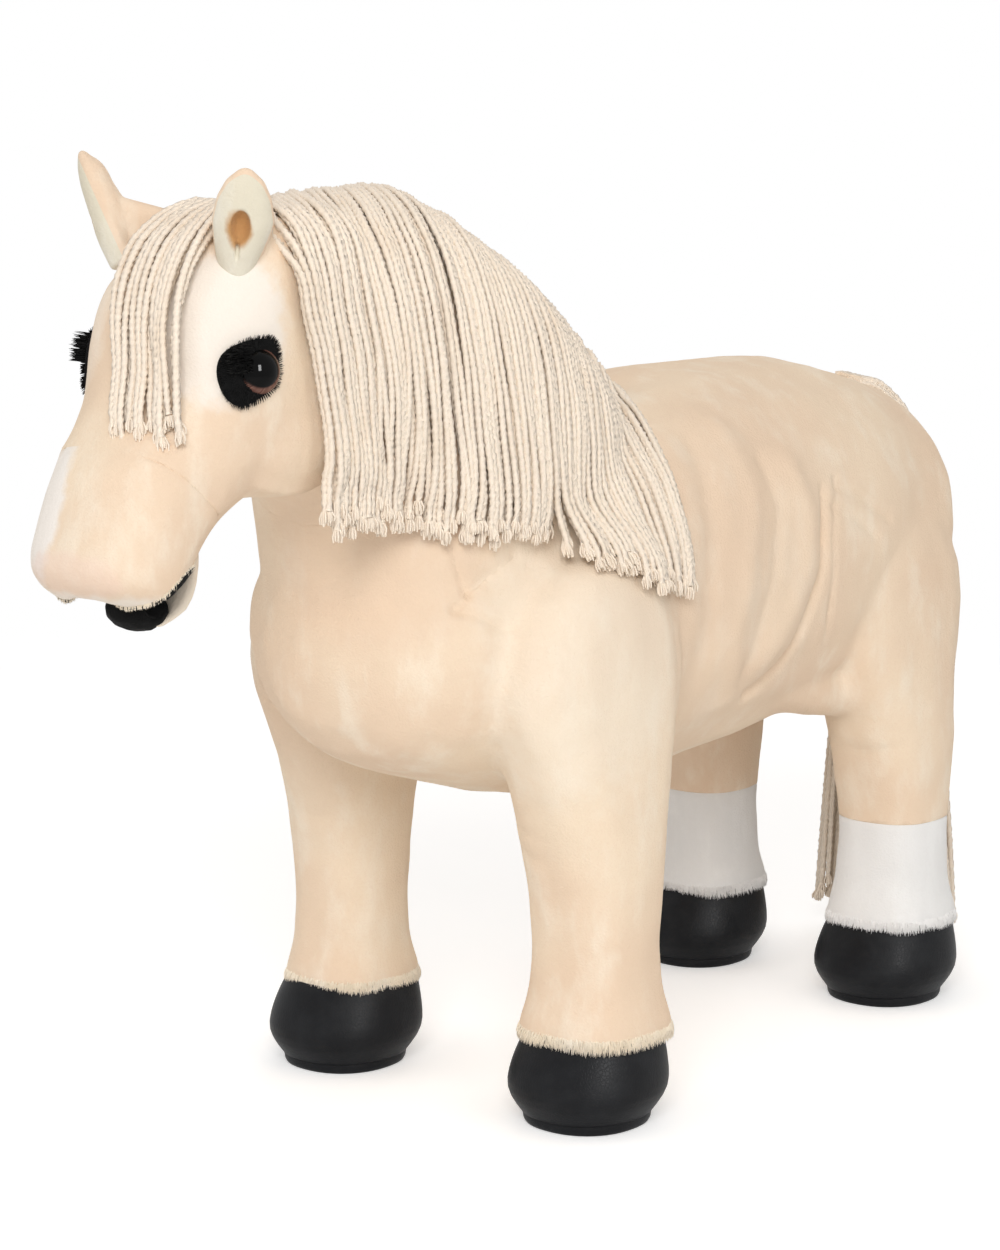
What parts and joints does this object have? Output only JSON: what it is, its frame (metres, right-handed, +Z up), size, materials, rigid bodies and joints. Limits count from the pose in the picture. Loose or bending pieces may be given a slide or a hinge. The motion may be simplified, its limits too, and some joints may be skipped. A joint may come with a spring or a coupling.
{
  "type": "plush horse",
  "caption": "Standing stuffed horse toy with jointed legs, nodding head, open mouth, bendable ears, and a mane, forelock and tail of cotton cords.",
  "frame": {"origin": "on the floor, under the middle of the whole toy", "axes": "+Z up, -Y the way the nose points, +X the toy's left side"},
  "size_m": [0.238, 0.664, 0.47],
  "materials": {
    "plush_cream": "short soft cream plush",
    "plush_white": "short white plush",
    "plush_pale": "pale off-white ear lining",
    "felt_black": "black short-pile felt",
    "cotton_cord": "twisted natural cotton cord",
    "cotton_tape": "woven cotton tape",
    "hoof_black": "satin black imitation leather",
    "eye_gloss": "glossy dark brown and black eye",
    "joint_plastic": "plain moulded plastic",
    "joint_steel": "plain steel rod"
  },
  "bodies": {
    "trunk": {"torso": "plush_cream", "neck": "plush_cream", "shoulder_rod": "joint_steel", "hip_rod": "joint_steel", "mane_tape": "cotton_tape", "tail_tape": "cotton_tape"},
    "head": {"head": "plush_cream", "muzzle": "plush_cream", "palate": "felt_black", "eye_patch_left": "felt_black", "eye_patch_right": "felt_black", "eye_left": "eye_gloss", "eye_right": "eye_gloss", "eye_washer_left": "joint_plastic", "eye_washer_right": "joint_plastic", "forelock_tape": "cotton_tape"},
    "jaw": {"jaw": "plush_cream", "jaw_lining": "felt_black"},
    "ear_left": {"ear_left": "plush_cream", "ear_lining_left": "plush_pale"},
    "ear_right": {"ear_right": "plush_cream", "ear_lining_right": "plush_pale"},
    "mane": {"mane": "cotton_cord"},
    "forelock": {"forelock": "cotton_cord"},
    "tail": {"tail": "cotton_cord"},
    "leg_front_left": {"leg_front_left": "plush_cream", "joint_disc_front_left": "joint_plastic", "hoof_front_left": "hoof_black", "sole_front_left": "hoof_black"},
    "leg_front_right": {"leg_front_right": "plush_cream", "joint_disc_front_right": "joint_plastic", "hoof_front_right": "hoof_black", "sole_front_right": "hoof_black"},
    "leg_hind_left": {"leg_hind_left": "plush_cream", "sock_hind_left": "plush_white", "joint_disc_hind_left": "joint_plastic", "hoof_hind_left": "hoof_black", "sole_hind_left": "hoof_black"},
    "leg_hind_right": {"leg_hind_right": "plush_cream", "sock_hind_right": "plush_white", "joint_disc_hind_right": "joint_plastic", "hoof_hind_right": "hoof_black", "sole_hind_right": "hoof_black"}
  },
  "joints": [
    {"name": "head_nod", "type": "hinge", "parent": "trunk", "child": "head", "pos_m": [0, -0.2235, 0.384], "axis": [1, 0, 0], "range_deg": [-12, 12]},
    {"name": "jaw_open", "type": "hinge", "parent": "head", "child": "jaw", "pos_m": [0, -0.2665, 0.3022], "axis": [1, 0, 0], "range_deg": [-6, 12], "stiffness_Nm_per_rad": 0.2},
    {"name": "ear_left_bend", "type": "hinge", "parent": "head", "child": "ear_left", "pos_m": [0.03534, -0.25529, 0.4268], "axis": [0.718, 0.6933, -0.0614], "range_deg": [-15, 15], "stiffness_Nm_per_rad": 0.1},
    {"name": "ear_right_bend", "type": "hinge", "parent": "head", "child": "ear_right", "pos_m": [-0.03534, -0.25529, 0.4268], "axis": [0.718, -0.6933, 0.0614], "range_deg": [-15, 15], "stiffness_Nm_per_rad": 0.1},
    {"name": "forelock_lift", "type": "hinge", "parent": "head", "child": "forelock", "pos_m": [0, -0.2313, 0.4535], "axis": [-1, 0, 0], "range_deg": [0, 40]},
    {"name": "mane_lift", "type": "hinge", "parent": "trunk", "child": "mane", "pos_m": [0, -0.0965, 0.44], "axis": [0, -0.939, 0.344], "range_deg": [0, 30]},
    {"name": "tail_lift", "type": "hinge", "parent": "trunk", "child": "tail", "pos_m": [0, 0.2545, 0.345], "axis": [1, 0, 0], "range_deg": [0, 45]},
    {"name": "leg_front_left_swing", "type": "hinge", "parent": "trunk", "child": "leg_front_left", "pos_m": [0.081, -0.0655, 0.221], "axis": [1, 0, 0], "range_deg": [-12, 12]},
    {"name": "leg_front_right_swing", "type": "hinge", "parent": "trunk", "child": "leg_front_right", "pos_m": [-0.081, -0.0655, 0.221], "axis": [1, 0, 0], "range_deg": [-12, 12]},
    {"name": "leg_hind_left_swing", "type": "hinge", "parent": "trunk", "child": "leg_hind_left", "pos_m": [0.065, 0.2165, 0.222], "axis": [1, 0, 0], "range_deg": [-12, 12]},
    {"name": "leg_hind_right_swing", "type": "hinge", "parent": "trunk", "child": "leg_hind_right", "pos_m": [-0.065, 0.2165, 0.222], "axis": [1, 0, 0], "range_deg": [-12, 12]}
  ]
}
